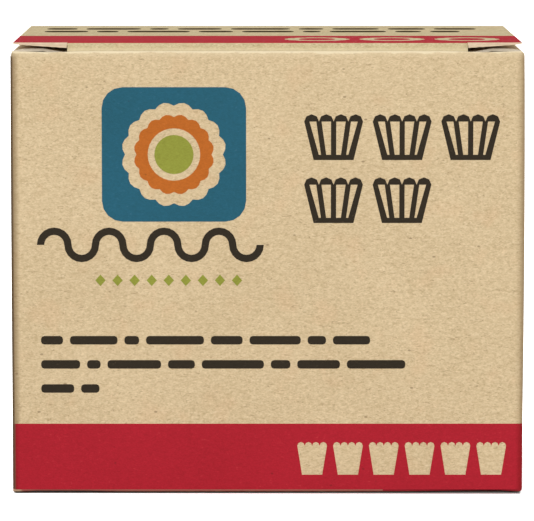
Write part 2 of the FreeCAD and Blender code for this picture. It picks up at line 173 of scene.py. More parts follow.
# The torn edges beside the slits
TORN_START = 0.4                # from the lid's corner
TORN_END = 0.05                 # from the slit's inner end
TORN_LEAST = 0.08               # how far the edge hangs down at the corner
TORN_GROWTH = 0.35              # and how much further at the inner end
TORN_RAGGED = 0.025             # it wavers by this
TORN_TURN = 2.7                 # in turns of this angle from point to point
TORN_YS = (0.02, 0.03, 0.32)    # front, lowest and back line, behind the lid's front edge

# Liners
LINERS = 60
FLUTES = 40
FLUTE_STEPS = 6
CUP_BASE = 25.4                 # radius of a liner's flat base
CUP_HEIGHT = 29.05
CUP_SHARES = (0.0, 0.04, 0.35, 0.7, 1.0)    # rows of points from base to rim
CUP_DISH = 0.25                 # how far the middle of the base stands in
RIM_FLUTE = 1.3                 # depth of the flutes
BASE_FLUTE = 0.3
CLEARANCE = 0.1                 # inside the stack's box
LINER_START = 0.05              # of the first base from the stack's front
LINER_SLACK = 0.11              # a rim stands out or back by up to this
LINER_PRESS = 0.2               # and is pressed in by up to this
DENT = 0.35                     # a dent that runs through the stack
DENT_WAVE = 0.1                 # it moves the rims to the front and back by this
DENT_SIZE = 1.7                 # over 1, the dents are smaller and more
DENT_DRIFT = 0.035              # how far they change from liner to liner


def spread(start, end, count):
    """Evenly spaced values from start to end, with that many steps between them."""
    return [start + (end - start) * step / count for step in range(count + 1)]


def climb(value, start, end):
    """0 at start and 1 at end, straight between and level beyond. The end may be the lower one."""
    return max(0.0, min(1.0, (value - start) / (end - start)))


def linear(red, green, blue):
    """An sRGB colour from 0 to 255, as the linear colour that a shader takes."""
    values = []
    for part in (red, green, blue):
        share = part / 255
        values.append(share / 12.92 if share <= 0.04045 else ((share + 0.055) / 1.055) ** 2.4)
    return (*values, 1.0)


# Materials

# sRGB colours from 0 to 255
KRAFT = (218, 194, 154)
KRAFT_INSIDE = (200, 180, 144)
KRAFT_LID = (206, 189, 149)
KRAFT_UNDER_INK = (213, 190, 150)
LID_CUT = (226, 202, 171)
# Painted light: the carton's cut edges are drawn paler than the lid's, to make up for the lid's shade on the
# dust flaps' front edges
CARTON_CUT_LIT = (226, 214, 192)
PALE_FIBRE = (240, 220, 184)
DARK_FIBRE = (150, 122, 88)
BLUSH = (226, 182, 140)
DARK_FLECK = (118, 90, 62)
DARK_DOT = (140, 110, 78)
PALE_DOT = (250, 228, 190)
INK_FLECK = (60, 30, 26)
# Painted shade at the front's folds, the right rim, the left fold and the seam; the band's red at the raw
# edge is darkened by painted shade
FOLD_SHADE = (150, 124, 88)
RIM_SHADE = (140, 118, 88)
LEFT_SHADE = (112, 88, 56)
SEAM_SHADE = (88, 70, 52)
SHADED_BAND_EDGE = (132, 34, 38)
# The top edge's pale line: partly worn board, partly a painted highlight of the lit cut edge
TOP_PALE = (236, 215, 176)
TOP_WORN_HIGHLIGHT = (250, 234, 198)
FOOT_INK = (160, 38, 48)
FOOT_CORNER = (214, 190, 150)
FOOT_RUBBED = (190, 144, 122)
# Painted contact shadow under the foot's fold
FOOT_SHADOW = (98, 64, 54)
# Painted light on the lid's fold near the front panel
LID_PAINTED_LIGHT = (240, 224, 186)
# Painted sheen: the lid's red is paler and greyer than the band's red
LID_INK = (182, 52, 60)
LINER_KRAFT = (184, 150, 111)
SHADE_WEIGHTS = (1.0, 1.12, 1.42)   # how much a lighter or darker shade changes red, green and blue
SPECK_CORE = 0.6                # share of a speck's radius that is full


class Nodes:
    """A node tree under construction, with short calls for the nodes that it needs."""

    def __init__(self, tree):
        self.tree = tree

    def node(self, kind, settings=None, **inputs):
        """A new node with those properties, and inputs by their names, with _ for a space."""
        made = self.tree.nodes.new("ShaderNode" + kind)
        for key, value in (settings or {}).items():
            setattr(made, key, value)
        for key, value in inputs.items():
            self.plug(made.inputs[key.replace("_", " ")], value)
        return made

    def plug(self, socket, value):
        """Gives a socket what another node puts out, or a plain value."""
        if isinstance(value, bpy.types.NodeSocket):
            self.tree.links.new(value, socket)
        else:
            socket.default_value = value

    def math(self, operation, first, second=0.0):
        made = self.node("Math", {"operation": operation})
        self.plug(made.inputs[0], first)
        self.plug(made.inputs[1], second)
        return made.outputs[0]

    def chain(self, operation, values):
        """The values taken together one after another."""
        total = values[0]
        for value in values[1:]:
            total = self.math(operation, total, value)
        return total

    def add(self, *values):
        return self.chain("ADD", values)

    def times(self, *values):
        return self.chain("MULTIPLY", values)

    def largest(self, *values):
        return self.chain("MAXIMUM", values)

    def weighted(self, *pairs):
        """The sum of values, each times its weight."""
        return self.add(*[self.times(value, weight) for value, weight in pairs])

    def less(self, value, taken):
        return self.math("SUBTRACT", value, taken)

    def below(self, value, limit):
        """1 where the value is below the limit, else 0."""
        return self.math("LESS_THAN", value, limit)

    def above(self, value, limit):
        """1 where the value is above the limit, else 0."""
        return self.math("GREATER_THAN", value, limit)

    def ramp(self, value, start, end):
        """0 at start and 1 at end, smooth between."""
        made = self.node("MapRange", {"interpolation_type": "SMOOTHSTEP"})
        self.plug(made.inputs["Value"], value)
        self.plug(made.inputs["From Min"], start)
        self.plug(made.inputs["From Max"], end)
        return made.outputs["Result"]

    def seen_rays(self):
        """1 for the rays that show a background: from the camera, or by way of gloss or glass."""
        path = self.node("LightPath")
        return self.largest(*[path.outputs[name] for name in ("Is Camera Ray", "Is Glossy Ray",
                                                              "Is Transmission Ray")])


class Shader(Nodes):
    """A material under construction: x, y and z are the place on the object, in millimetres."""

    def __init__(self, name):
        self.material = bpy.data.materials.new(name)
        self.material.use_nodes = True
        super().__init__(self.material.node_tree)
        self.surface = self.tree.nodes["Principled BSDF"]
        self.place = self.node("TexCoord").outputs["Object"]
        apart = self.node("SeparateXYZ", Vector=self.place)
        self.x, self.y, self.z = [self.times(part, 1 / MM) for part in apart.outputs]
        self.across = self.math("ABSOLUTE", self.x)

    def stretched(self, x, y=1.0):
        """The place, drawn out so that what is patterned by it is 1/x as long and 1/y as deep."""
        return self.node("Mapping", Vector=self.place, Scale=(x, y, 1.0)).outputs["Vector"]

    def noise(self, vector, size, detail=2.0, roughness=0.5, distortion=0.0):
        """Noise about zero, with features of that size in millimetres."""
        made = self.node("TexNoise", Vector=vector, Scale=1 / (size * MM), Detail=detail,
                         Roughness=roughness, Distortion=distortion)
        return self.less(made.outputs["Fac"], 0.5)

    def mix(self, factor, first, second):
        made = self.node("Mix", {"data_type": "RGBA"})
        self.plug(made.inputs[0], factor)
        self.plug(made.inputs[6], first)
        self.plug(made.inputs[7], second)
        return made.outputs[2]

    def tint(self, tone, mask, amount, colour):
        """The tone mixed with that amount of an sRGB colour where the mask is 1."""
        return self.mix(self.times(mask, amount), tone, linear(*colour))

    def specks(self, tone, colour, amount, stretch, spacing, share, radius):
        """The tone with round specks: one for each cell of that spacing, kept in that share of the cells."""
        cells = self.node("TexVoronoi", Vector=self.stretched(stretch, stretch), Scale=1 / (spacing * MM))
        inside = self.less(1.0, self.ramp(cells.outputs["Distance"], radius * SPECK_CORE, radius))
        dice = self.node("SeparateColor", Color=cells.outputs["Color"]).outputs["Red"]
        return self.tint(tone, self.times(inside, self.below(dice, share)), amount, colour)

    def shade(self, colour, value):
        """The colour made lighter or darker by a value about zero, more so in its blue."""
        colour = colour[:3] if isinstance(colour, tuple) else colour
        apart = self.node("VectorMath", {"operation": "SCALE"})
        self.plug(apart.inputs[0], SHADE_WEIGHTS)
        self.plug(apart.inputs["Scale"], value)
        made = self.node("VectorMath", {"operation": "MULTIPLY_ADD"})
        self.plug(made.inputs[0], apart.outputs[0])
        self.plug(made.inputs[1], colour)
        self.plug(made.inputs[2], colour)
        return made.outputs[0]

    def finish(self, colour, roughness, height, depth, gloss=0.1):
        """The material with its colour, roughness, bumps of that depth in millimetres and gloss."""
        self.surface.inputs["Specular IOR Level"].default_value = gloss
        self.plug(self.surface.inputs["Base Color"], colour)
        self.plug(self.surface.inputs["Roughness"], roughness)
        bump = self.node("Bump", Height=height, Distance=depth * MM, Strength=1.0)
        self.plug(self.surface.inputs["Normal"], bump.outputs["Normal"])
        return self.material


def fibres(shader):
    """The board's fibres, lying mostly across: broad clouds, short mottling and fine grain."""
    clouds = shader.noise(shader.place, size=14.0, detail=3.0)
    mottle = shader.noise(shader.stretched(0.58, 0.58), size=0.56, detail=3.0, roughness=0.66, distortion=0.7)
    grain = shader.noise(shader.stretched(0.55, 0.55), size=0.21, detail=2.0, roughness=0.6)
    return clouds, mottle, grain


def board(name, colour, wear=None, gloss=0.08):
    """Unbleached paperboard: mottled, with pale and dark fibres and a few specks."""
    shader = Shader(name)
    clouds, mottle, grain = fibres(shader)
    tone = shader.shade(linear(*colour), shader.weighted((clouds, 0.16), (mottle, 0.56), (grain, 0.52)))
    threads = shader.noise(shader.stretched(0.26, 0.26), size=0.26, detail=1.0, distortion=1.6)
    tone = shader.tint(tone, shader.ramp(threads, 0.12, 0.24), 0.4, PALE_FIBRE)
    tone = shader.tint(tone, shader.ramp(threads, -0.12, -0.24), 0.5, DARK_FIBRE)
    blush = shader.noise(shader.place, size=5.5, detail=2.0)
    tone = shader.tint(tone, shader.ramp(blush, 0.04, 0.22), 0.16, BLUSH)
    tone = shader.specks(tone, DARK_FLECK, 0.55, stretch=0.55, spacing=2.1, share=0.3, radius=0.09)
    tone = shader.specks(tone, DARK_DOT, 0.3, stretch=0.8, spacing=0.9, share=0.3, radius=0.13)
    tone = shader.specks(tone, PALE_DOT, 0.32, stretch=0.55, spacing=1.1, share=0.35, radius=0.14)
    if wear:
        tone = wear(shader, tone)
    roughness = shader.add(0.78, shader.times(mottle, 0.2))
    height = shader.weighted((mottle, 0.7), (grain, 0.45), (threads, 0.3))
    return shader.finish(tone, roughness, height, 0.045, gloss)


def carton_wear_and_painted_light(shader, tone):
    """Wear, print, and painted light and shade on the carton's outside. Places are given from the edges of
    its panels.
    """
    on_front = shader.below(shader.y, FRONT + 1.2)
    tone = painted_fold_shade_and_ink(shader, tone, on_front)
    tone = top_wear_and_highlight(shader, tone, on_front)
    return foot_wear_and_shadow(shader, tone, on_front)


def painted_fold_shade_and_ink(shader, tone, on_front):
    """Painted shade along the front's upright folds, darkest at the right fold's rim, at the left fold and in
    the seam; and the band's ink on the raw left edge, drawn dark as painted shade.
    """
    near_front = shader.ramp(shader.y, FRONT + 4.0, FRONT + 0.9)
    at_fold = shader.times(shader.ramp(shader.across, HALF - 1.5, HALF - 0.3), near_front)
    # painted shade: darker board along both upright folds of the front
    tone = shader.tint(tone, at_fold, 0.42, FOLD_SHADE)
    painted_rim_shade = shader.times(shader.ramp(shader.x, HALF - 0.75, HALF - 0.1), near_front)
    # painted shade: a darker line at the right fold's rim
    tone = shader.tint(tone, painted_rim_shade, 0.5, RIM_SHADE)
    painted_left_shade = shader.times(shader.ramp(shader.x, 1.6 - HALF, 0.2 - HALF), on_front)
    # painted shade: the left fold turning away from the light
    tone = shader.tint(tone, painted_left_shade, 0.5, LEFT_SHADE)
    in_band = shader.times(shader.below(shader.z, band_top), shader.below(shader.x, 0.6 - HALF), on_front)
    # the band's ink carried onto the raw left edge, darkened as painted shade
    tone = shader.tint(tone, in_band, 0.85, SHADED_BAND_EDGE)
    seam = SEAM_STEP - HALF
    painted_seam_shadow = shader.times(shader.ramp(shader.x, seam + 0.24, seam), on_front)
    # painted shadow in the step between the raw edge and the side panel's fold
    return shader.tint(tone, painted_seam_shadow, 0.85, SEAM_SHADE)


def top_wear_and_highlight(shader, tone, on_front):
    """The front's top edge: paler, with a ragged, broken pale line, partly worn board and partly a painted
    highlight of the lit cut edge.
    """
    on_edge = shader.times(shader.below(shader.z, TOP + 0.05), on_front)
    near_top = shader.ramp(shader.z, TOP - 1.3, TOP - 0.3)
    # paler towards the top edge: part of the painted highlight of the lit cut edge
    tone = shader.tint(tone, shader.times(near_top, on_edge), 0.4, TOP_PALE)
    waver = shader.noise(shader.place, size=2.4, detail=3.0, roughness=0.7)
    ragged = shader.add(shader.times(waver, 1.1), TOP - 0.3)
    above = shader.ramp(shader.less(shader.z, ragged), -0.1, 0.14)
    # the ragged line: partly worn board, partly a painted highlight of the lit cut edge
    return shader.tint(tone, shader.times(above, on_edge), 0.78, TOP_WORN_HIGHLIGHT)


def foot_wear_and_shadow(shader, tone, on_front):
    """The fold at the foot: the band's ink runs over it and is worn pale at the left, and a painted contact
    shadow darkens its underside.
    """
    at_back = shader.ramp(shader.y, FLAT_BACK, BACK - 0.3)
    foot = shader.less(shader.z, shader.times(at_back, BACK_FOOT))
    low = shader.below(foot, BOTTOM_FOLD + 0.01)
    fold_edge = BOTTOM_FOLD + 0.02
    on_fold = shader.largest(shader.above(shader.across, HALF - fold_edge),
                             shader.below(shader.y, FRONT + fold_edge),
                             shader.above(shader.y, BACK - fold_edge))
    outside = shader.times(shader.above(shader.z, 0.02), on_fold)
    waver = shader.noise(shader.place, size=1.6, detail=3.0, roughness=0.7)
    inked = shader.ramp(shader.add(foot, shader.times(waver, 0.3)), 0.1, 0.2)
    tone = shader.tint(tone, shader.times(inked, low, outside), 1.0, FOOT_INK)
    raw_corner = shader.times(shader.ramp(shader.x, 1.7 - HALF, 1.1 - HALF), low, on_front)
    tone = shader.tint(tone, raw_corner, 0.9, FOOT_CORNER)
    rubbed_and_lit = shader.times(shader.ramp(foot, 0.2, 0.3), low, outside, shader.below(shader.x, 19.0))
    tone = shader.tint(tone, rubbed_and_lit, 0.55, FOOT_RUBBED)
    # painted contact shadow on the underside of the fold at the foot
    painted_foot_shadow = shader.times(shader.ramp(foot, 0.26, 0.14), outside)
    return shader.tint(tone, painted_foot_shadow, 0.65, FOOT_SHADOW)


def lid_highlight_and_ink(shader, tone):
    """The lid's front fold: painted light makes it paler near the front panel, and the stripe's ink runs over
    its start.
    """
    at_fold = shader.below(shader.y, FOLD_Y + 0.05)
    between = shader.below(shader.across, SLIT_END - 0.02)
    # painted light: the fold is drawn paler near the front panel's top, against the shade there
    rubbed_and_lit = shader.times(shader.ramp(shader.z, TOP + 0.7, TOP + 0.2), at_fold)
    tone = shader.tint(tone, rubbed_and_lit, 0.5, LID_PAINTED_LIGHT)
    inked = shader.times(shader.ramp(shader.z, LID_TOP - 0.15, LID_TOP - 0.1), at_fold, between)
    return shader.tint(tone, inked, 1.0, LID_INK)


def cut_board(name, colour):
    """The cut edge of the board, in thin layers."""
    shader = Shader(name)
    layers = shader.noise(shader.stretched(0.15), size=0.16, detail=2.0)
    tone = shader.shade(linear(*colour), shader.times(layers, 0.5))
    return shader.finish(tone, 0.8, layers, 0.05)


def ink(name, colour, thin=0.05, gloss=0.1):
    """Printed ink on the board, with painted shade at the front's folds: fibres and specks show through a
    little.
    """
    shader = Shader(name)
    clouds, mottle, grain = fibres(shader)
    tone = shader.shade(linear(*colour), shader.weighted((clouds, 0.18), (mottle, 0.34), (grain, 0.34)))
    missed = shader.ramp(shader.add(mottle, shader.times(grain, 0.5)), 0.14, 0.34)
    tone = shader.tint(tone, missed, thin, KRAFT_UNDER_INK)
    tone = shader.specks(tone, INK_FLECK, 0.35, stretch=0.75, spacing=1.9, share=0.3, radius=0.11)
    # painted shade: the ink is darker near the upright folds
    at_fold = shader.times(shader.ramp(shader.across, HALF - 1.3, HALF - 0.2),
                           shader.ramp(shader.math("ABSOLUTE", shader.y), BACK - 4.0, BACK - 0.9))
    tone = shader.shade(tone, shader.times(at_fold, -0.34))
    roughness = shader.add(0.68, shader.times(mottle, 0.2))
    return shader.finish(tone, roughness, shader.weighted((mottle, 0.6), (grain, 0.35)), 0.035, gloss)


def liner_paper():
    """Thin unbleached baking paper, a little different from liner to liner."""
    shader = Shader("liner_paper_fibres")
    clouds, mottle, grain = fibres(shader)
    dice = shader.node("NewGeometry").outputs["Random Per Island"]
    value = shader.add(-0.2, shader.weighted((dice, 0.4), (clouds, 0.2), (mottle, 0.3), (grain, 0.25)))
    tone = shader.shade(linear(*LINER_KRAFT), value)
    return shader.finish(tone, shader.add(0.5, shader.times(mottle, 0.2)), grain, 0.02)


kraft = board("kraft_outside", KRAFT, carton_wear_and_painted_light)
kraft_inside = board("kraft_inside", KRAFT_INSIDE)
kraft_lid = board("kraft_lid", KRAFT_LID, lid_highlight_and_ink, gloss=0.02)
cut_edge = cut_board("kraft_cut_edge", LID_CUT)
# painted light: paler than the lid's cut edge, against the lid's shade on the dust flaps
carton_edge_lit = cut_board("kraft_carton_edge", CARTON_CUT_LIT)

node_inks = {
    "red_band": ink("red_print", (176, 33, 47)),
    "teal_tile": ink("teal_print", (39, 94, 113)),
    "orange_ring": ink("orange_print", (190, 104, 38)),
    "green_shapes": ink("green_print", (147, 151, 61)),
    "brown_shapes": ink("brown_print", (45, 38, 28), thin=0.08),
    # the lid's red ink, drawn paler and greyer than the band's and nearly without gloss: painted sheen of the
    # lid's glancing reflection
    "lid_stripe": ink("red_lid_print", (180, 50, 58), gloss=0.004),
    "lid_bars": ink("brown_lid_print", (70, 57, 40), thin=0.12, gloss=0.0),
}
for node_name, material in node_inks.items():
    node_mesh = frame["nodes"][node_name].data
    node_mesh.materials.clear()
    node_mesh.materials.append(material)


# Sheets of board: grids of points joined along the edges that they share, then given their thickness inwards.

def linked(name, data):
    """A new object in the scene."""
    made = bpy.data.objects.new(name, data)
    bpy.context.scene.collection.objects.link(made)
    return made


def piece_of(name, mesh, materials):
    """An object made of that bmesh, which it uses up."""
    data = bpy.data.meshes.new(name)
    mesh.to_mesh(data)
    mesh.free()
    for material in materials:
        data.materials.append(material)
    return linked(name, data)


def add_points(mesh, rows):
    """The bmesh's new points, in rows as they are given."""
    return [[mesh.verts.new(Vector(point) * MM) for point in row] for row in rows]


def add_grid(mesh, rows):
    """Faces between rows of points: the outside is on the right of the columns' order when rows go down."""
    made = add_points(mesh, rows)
    for upper, lower in zip(made, made[1:]):
        for index in range(len(upper) - 1):
            mesh.faces.new((upper[index], lower[index], lower[index + 1], upper[index + 1]))


def board_piece(name, grids, materials):
    """A piece made of sheets: materials are those of the outside, the inside and the cut edges."""
    mesh = bmesh.new()
    for rows in grids:
        add_grid(mesh, rows)
    bmesh.ops.remove_doubles(mesh, verts=mesh.verts, dist=MERGE * MM)
    piece = piece_of(name, mesh, materials)
    thick = piece.modifiers.new("board", "SOLIDIFY")
    thick.thickness = BOARD * MM
    thick.offset = -1.0
    thick.use_even_offset = True
    thick.material_offset = 1
    thick.material_offset_rim = 2
    graph = bpy.context.evaluated_depsgraph_get()
    done = bpy.data.meshes.new_from_object(piece.evaluated_get(graph))
    piece.modifiers.clear()
    done.name = piece.name
    piece.data = done
    done.shade_smooth()
    done.set_sharp_from_angle(angle=math.radians(SHARP_ANGLE))
    return piece


# Carton: the walls go round from the front panel's raw left edge to the fold behind it.

class Column:
    """One upright line of the walls: its place, outward direction, top, foot, foot's fold radius and bow."""

    def __init__(self, x, y, angle, top, foot=0.0, fold=BOTTOM_FOLD, bow=0.0):
        self.x = x
        self.y = y
        self.out = (math.cos(angle), math.sin(angle))
        self.top = top
        self.foot = foot
        self.fold = fold
        self.bow = bow

    def point(self, z, inset):
        return (self.x - self.out[0] * inset, self.y - self.out[1] * inset, z)

    def wall_point(self, share):
        """A point on the wall, from its top at 0 to the start of the foot's fold at 1."""
        z = self.top + (self.foot + self.fold - self.top) * share
        height = climb(z, BOW_START, self.top)
        return self.point(z, -self.bow * math.sin(math.pi * height) ** BOW_FULLNESS)

    def fold_point(self, turn):
        return self.point(self.foot + self.fold * (1 - math.sin(turn)), self.fold * (1 - math.cos(turn)))


def corner(x, y, start, end, tops, feet=(0.0, 0.0), radius=FOLD, fold=BOTTOM_FOLD, bows=(0.0, 0.0)):
    """Columns round an upright fold, the first and last left to the panels."""
    made = []
    for share in spread(0.0, 1.0, CORNER_STEPS)[1:-1]:
        angle = math.radians(start + (end - start) * share)
        top = tops[0] + (tops[1] - tops[0]) * (1 - math.cos(share * math.pi / 2))
        foot = feet[0] + (feet[1] - feet[0]) * share
        bow = bows[0] + (bows[1] - bows[0]) * share
        place = (x + radius * math.cos(angle), y + radius * math.sin(angle))
        made.append(Column(*place, angle, top, foot, fold, bow))
    return made


def foot_lift(x):
    """The front panel's foot stands a little off the ground towards both ends, more at the right."""
    start, end, most = FOOT_RISE_RIGHT if x > 0 else FOOT_RISE_LEFT
    rise = climb(abs(x), start, end)
    return (FOOT_GAP + most * rise * rise * (3 - 2 * rise)) * climb(abs(x), MID_FOLD, MID_FOLD - FOOT_END)


def top_dip(x):
    """The front panel's top edge is pressed down a little along the slits, most at their inner ends."""
    along = min(climb(abs(x), SLIT_END, DIP_CENTRE), climb(abs(x), HALF, HALF - DIP_RUN))
    return SLIT_DIP * along + END_DIP * max(0.0, 1 - abs(abs(x) - DIP_CENTRE) / DIP_REACH)


def bow_at(place, start, end):
    """How far a panel bows out at a place between its ends."""
    return BULGE * math.sin(math.pi * (place - start) / (end - start))


front_xs = [-HALF + SEAM_STEP, -HALF + RAW_STRIP] + spread(-FLAT_HALF, FLAT_HALF, FRONT_PARTS)[1:]
side_ys = [FLAT_FRONT, DUST_FRONT] + spread(SIDE_START, FLAT_BACK, SIDE_PARTS)
back_xs = spread(FLAT_HALF, -FLAT_HALF, BACK_PARTS)


def front_columns():
    return [Column(x, FRONT, -math.pi / 2, TOP - top_dip(x), foot_lift(x)) for x in front_xs]


def side_columns(side, front_bow):
    """A side panel's columns from front to back. The left one's foot is folded tighter beside the seam."""
    made = []
    for y in side_ys:
        bow = bow_at(y, FLAT_FRONT, FLAT_BACK) + front_bow * (1 - climb(y, FLAT_FRONT, FLAT_BACK))
        fold = BOTTOM_FOLD if side > 0 or y > SIDE_START else SEAM_FOLD
        made.append(Column(side * HALF, y, 0 if side > 0 else math.pi, SIDE_TOP, fold=fold, bow=bow))
    return made


def back_columns():
    return [Column(x, BACK, math.pi / 2, BACK_TOP, BACK_FOOT, bow=bow_at(x, -FLAT_HALF, FLAT_HALF))
            for x in back_xs]


def seam_columns():
    """The fold behind the front panel's raw left edge, up to the glued flap."""
    y = FRONT + BOARD
    start = y + SEAM_STEP
    low = SIDE_TOP - SEAM_DROP
    made = [Column(-HALF, start, math.pi, SIDE_TOP, fold=SEAM_FOLD, bow=SEAM_BOW)]
    made += corner(-HALF + SEAM_STEP, start, 180, 270, (SIDE_TOP, low), radius=SEAM_STEP, fold=SEAM_FOLD,
                   bows=(SEAM_BOW, 0.0))
    made.append(Column(-HALF + SEAM_STEP, y, -math.pi / 2, low, fold=SEAM_FOLD))
    made.append(Column(-HALF + SEAM_END, y, -math.pi / 2, low - SEAM_DROP, fold=SEAM_FOLD))
    return made


def wall_rows():
    columns = front_columns()
    columns += corner(FLAT_HALF, FLAT_FRONT, -90, 0, (TOP, SIDE_TOP), bows=(0.0, FRONT_BOW))
    columns += side_columns(1, FRONT_BOW)
    columns += corner(FLAT_HALF, FLAT_BACK, 0, 90, (SIDE_TOP, BACK_TOP), (0.0, BACK_FOOT))
    columns += back_columns()
    columns += corner(-FLAT_HALF, FLAT_BACK, 90, 180, (BACK_TOP, SIDE_TOP), (BACK_FOOT, 0.0))
    columns += side_columns(-1, SEAM_BOW)[:0:-1]
    columns += seam_columns()
    rows = [[column.wall_point(share) for column in columns] for share in spread(0.0, 1.0, WALL_PARTS)]
    turns = spread(0.0, math.pi / 2, FOLD_STEPS)[1:]
    return rows + [[column.fold_point(turn) for column in columns] for turn in turns]


def flap_lift(x, y):
    """The dust flaps spring up at the front, so that their cut edge shows, and sink beside the tuck flap."""
    forward = climb(y, *SPRING_YS)
    rise = climb(x, MID_FOLD, MID_FOLD - SPRING_RUN)
    return SPRING * forward * forward * rise * (1.0 - SINK_SHARE * climb(x, *SINK_XS))


def dust_rows(side):
    """A dust flap from its tip to the side panel's top edge, with a full shoulder at the fold."""
    ys = [y for y in side_ys if y >= DUST_FRONT]
    back = ys[-1]
    shares = [climb(y, DUST_FRONT, back) for y in ys][::side]
    tip = HALF - DUST_FLAP
    tongue = DUST_FRONT + SHOULDER_CUT
    neck = HALF - SHOULDER - SHOULDER_CUT / 2
    outline = []
    for share in (0.0, 0.5, 1.0):
        cut = DUST_BEVEL * (1 - share)
        outline.append((tip + DUST_BEVEL * share, tongue + cut, back - cut))
    outline += [(x, tongue, back) for x in (DUST_MIDDLE, neck)]
    outline += [(x, DUST_FRONT, back) for x in (HALF - SHOULDER, *SHOULDER_XS, FLAT_HALF)]
    rows = []
    for x, low, high in outline:
        ys_here = [low + (high - low) * share for share in shares]
        rows.append([(side * x, y, TOP + flap_lift(x, y)) for y in ys_here])
    for turn in spread(0.0, math.pi / 2, FOLD_STEPS + 1)[1:]:
        x = FLAT_HALF + FOLD * math.sin(turn)
        z = SIDE_TOP + FOLD * math.cos(turn)
        rows.append([(side * x, DUST_FRONT + (back - DUST_FRONT) * share, z) for share in shares])
    return rows


def floor_grids():
    """The outer and inner bottom flaps, and the two side flaps inside."""
    start = FRONT + BOTTOM_FOLD
    lift_end = FRONT + LIFT_DEPTH
    outer_ys = [start, FRONT + 2.0, FRONT + 5.0] + spread(lift_end, BACK - FLAP_SHORT, FLOOR_PARTS)
    inner_ys = spread(BACK - BOTTOM_FOLD, BACK - INNER_FLAP, FLOOR_PARTS - 1)
    grids = [[[(x, y, foot_lift(x) * climb(y, lift_end, start)) for x in front_xs[1:]] for y in outer_ys],
             [[(x, y, BACK_FOOT) for x in back_xs] for y in inner_ys]]
    for side in (-1, 1):
        xs = sorted((side * (HALF - BOARD), side * (HALF - MINOR_FLAP)))
        grids.append([[(x, y, 2 * BOARD) for x in xs] for y in (FRONT + MINOR_GAP, 0.0, BACK - MINOR_GAP)])
    return grids


def seam_flap_rows():
    """The flap glued behind the front panel, with slanted ends."""
    left = -HALF + SEAM_FLAP_START
    right = -HALF + BOARD + SEAM_FLAP
    ends = []
    for x in spread(left, right, 4):
        slant = SEAM_SLANT * climb(x, left, right)
        ends.append((x, SEAM_FLAP_TOP - slant, 3 * BOARD + slant))
    return [[(x, FRONT + BOARD, high + (low - high) * share) for x, high, low in ends]
            for share in (0.0, 0.5, 1.0)]


shell_grids = [wall_rows(), dust_rows(1), dust_rows(-1), seam_flap_rows()] + floor_grids()
carton = board_piece("carton_shell", shell_grids, (kraft, kraft_inside, carton_edge_lit))
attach(carton, "carton")
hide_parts("carton_body")


# Lid

def tuck_point(x, drop):
    """A point of the tuck flap, which is an arc about the hinge line."""
    return (x, BACK - math.sqrt(TUCK_RADIUS ** 2 - drop ** 2), hinge.z - drop)


def panel_grids(middle_xs):
    """The top panel, and the two ends of it that reach further forward than the fold."""
    right_xs = [SLIT_END, *LID_END_XS, LID_HALF]
    left_xs = [-x for x in right_xs[::-1]]
    panel_xs = left_xs[:-1] + middle_xs + right_xs[1:]
    grids = [[[(x, y, LID_TOP) for x in panel_xs] for y in spread(BACK - CREASE, FOLD_Y, PANEL_PARTS)]]
    for xs in (left_xs, right_xs):
        grids.append([[(x, y, LID_TOP) for x in xs] for y in (FOLD_Y, lid_low.y)])
    return grids


def ear_rows(side, drops):
    """The tuck flap beyond the slit's inner end, with a round lower corner."""
    rows = []
    for drop in drops:
        left = max(0.0, drop - (TUCK_DROP - TUCK_CORNER))
        reach = EAR_HALF - TUCK_CORNER + math.sqrt(max(0.0, TUCK_CORNER ** 2 - left ** 2))
        reach = max(reach, SLIT_END + EAR_LEAST)
        xs = [side * (SLIT_END + (reach - SLIT_END) * share) for share in EAR_SHARES]
        rows.append([tuck_point(x, drop) for x in sorted(xs)])
    return rows


def lid_grids():
    middle_xs = spread(-SLIT_END, SLIT_END, TUCK_COLUMNS)
    fold = [(FOLD_Y - FOLD_BAND * math.sin(turn), LID_TOP - FOLD_BAND + FOLD_BAND * math.cos(turn))
            for turn in spread(0.0, math.pi / 2, LID_FOLD_STEPS)]
    ear_drops = spread(EAR_DROP, TUCK_DROP, TUCK_PARTS)
    tuck = [[(x, y, z) for x in middle_xs] for y, z in fold]
    tuck += [[tuck_point(x, drop) for x in middle_xs] for drop in [FOLD_DROP] + ear_drops]
    return panel_grids(middle_xs) + [tuck, ear_rows(-1, ear_drops), ear_rows(1, ear_drops)]


lid = board_piece("lid_panel", lid_grids(), (kraft_lid, kraft_inside, cut_edge))
# Beside the slits the cut edge's underside rises towards the corners, which thins it.
for vertex in lid.data.vertices:
    beside = abs(vertex.co.x) / MM - SLIT_END
    if beside > 0 and vertex.co.y / MM < FOLD_Y + 0.01 and vertex.co.z / MM < hinge.z + 0.02:
        vertex.co.z += LID_CURL * MM * beside / (LID_HALF - SLIT_END)
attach(lid, "lid")
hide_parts("lid")


def slit_edge(side):
    """The board's torn, thicker edge beside the slit: it grows towards the slit's inner end."""
    rows = []
    front, lowest, back = [lid_low.y + offset for offset in TORN_YS]
    xs = spread(LID_HALF - TORN_START, SLIT_END + TORN_END, SLIT_PARTS)
    for index, x in enumerate(xs):
        share = index / (len(xs) - 1)
        deep = TORN_LEAST + TORN_GROWTH * share + TORN_RAGGED * math.sin(index * TORN_TURN)
        under = hinge.z + LID_CURL * (1 - share)
        rows.append([(side * x, front, under), (side * x, lowest, under - deep), (side * x, back, under)])
    mesh = bmesh.new()
    made = add_points(mesh, rows)
    for first, second in zip(made, made[1:]):
        for index in range(3):
            after = (index + 1) % 3
            mesh.faces.new((first[index], first[after], second[after], second[index]))
    mesh.faces.new(made[0])
    mesh.faces.new(made[-1][::-1])
    bmesh.ops.recalc_face_normals(mesh, faces=mesh.faces)
    piece = piece_of("slit_edge_right" if side > 0 else "slit_edge_left", mesh, [cut_edge])
    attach(piece, "lid")


slit_edge(-1)
slit_edge(1)


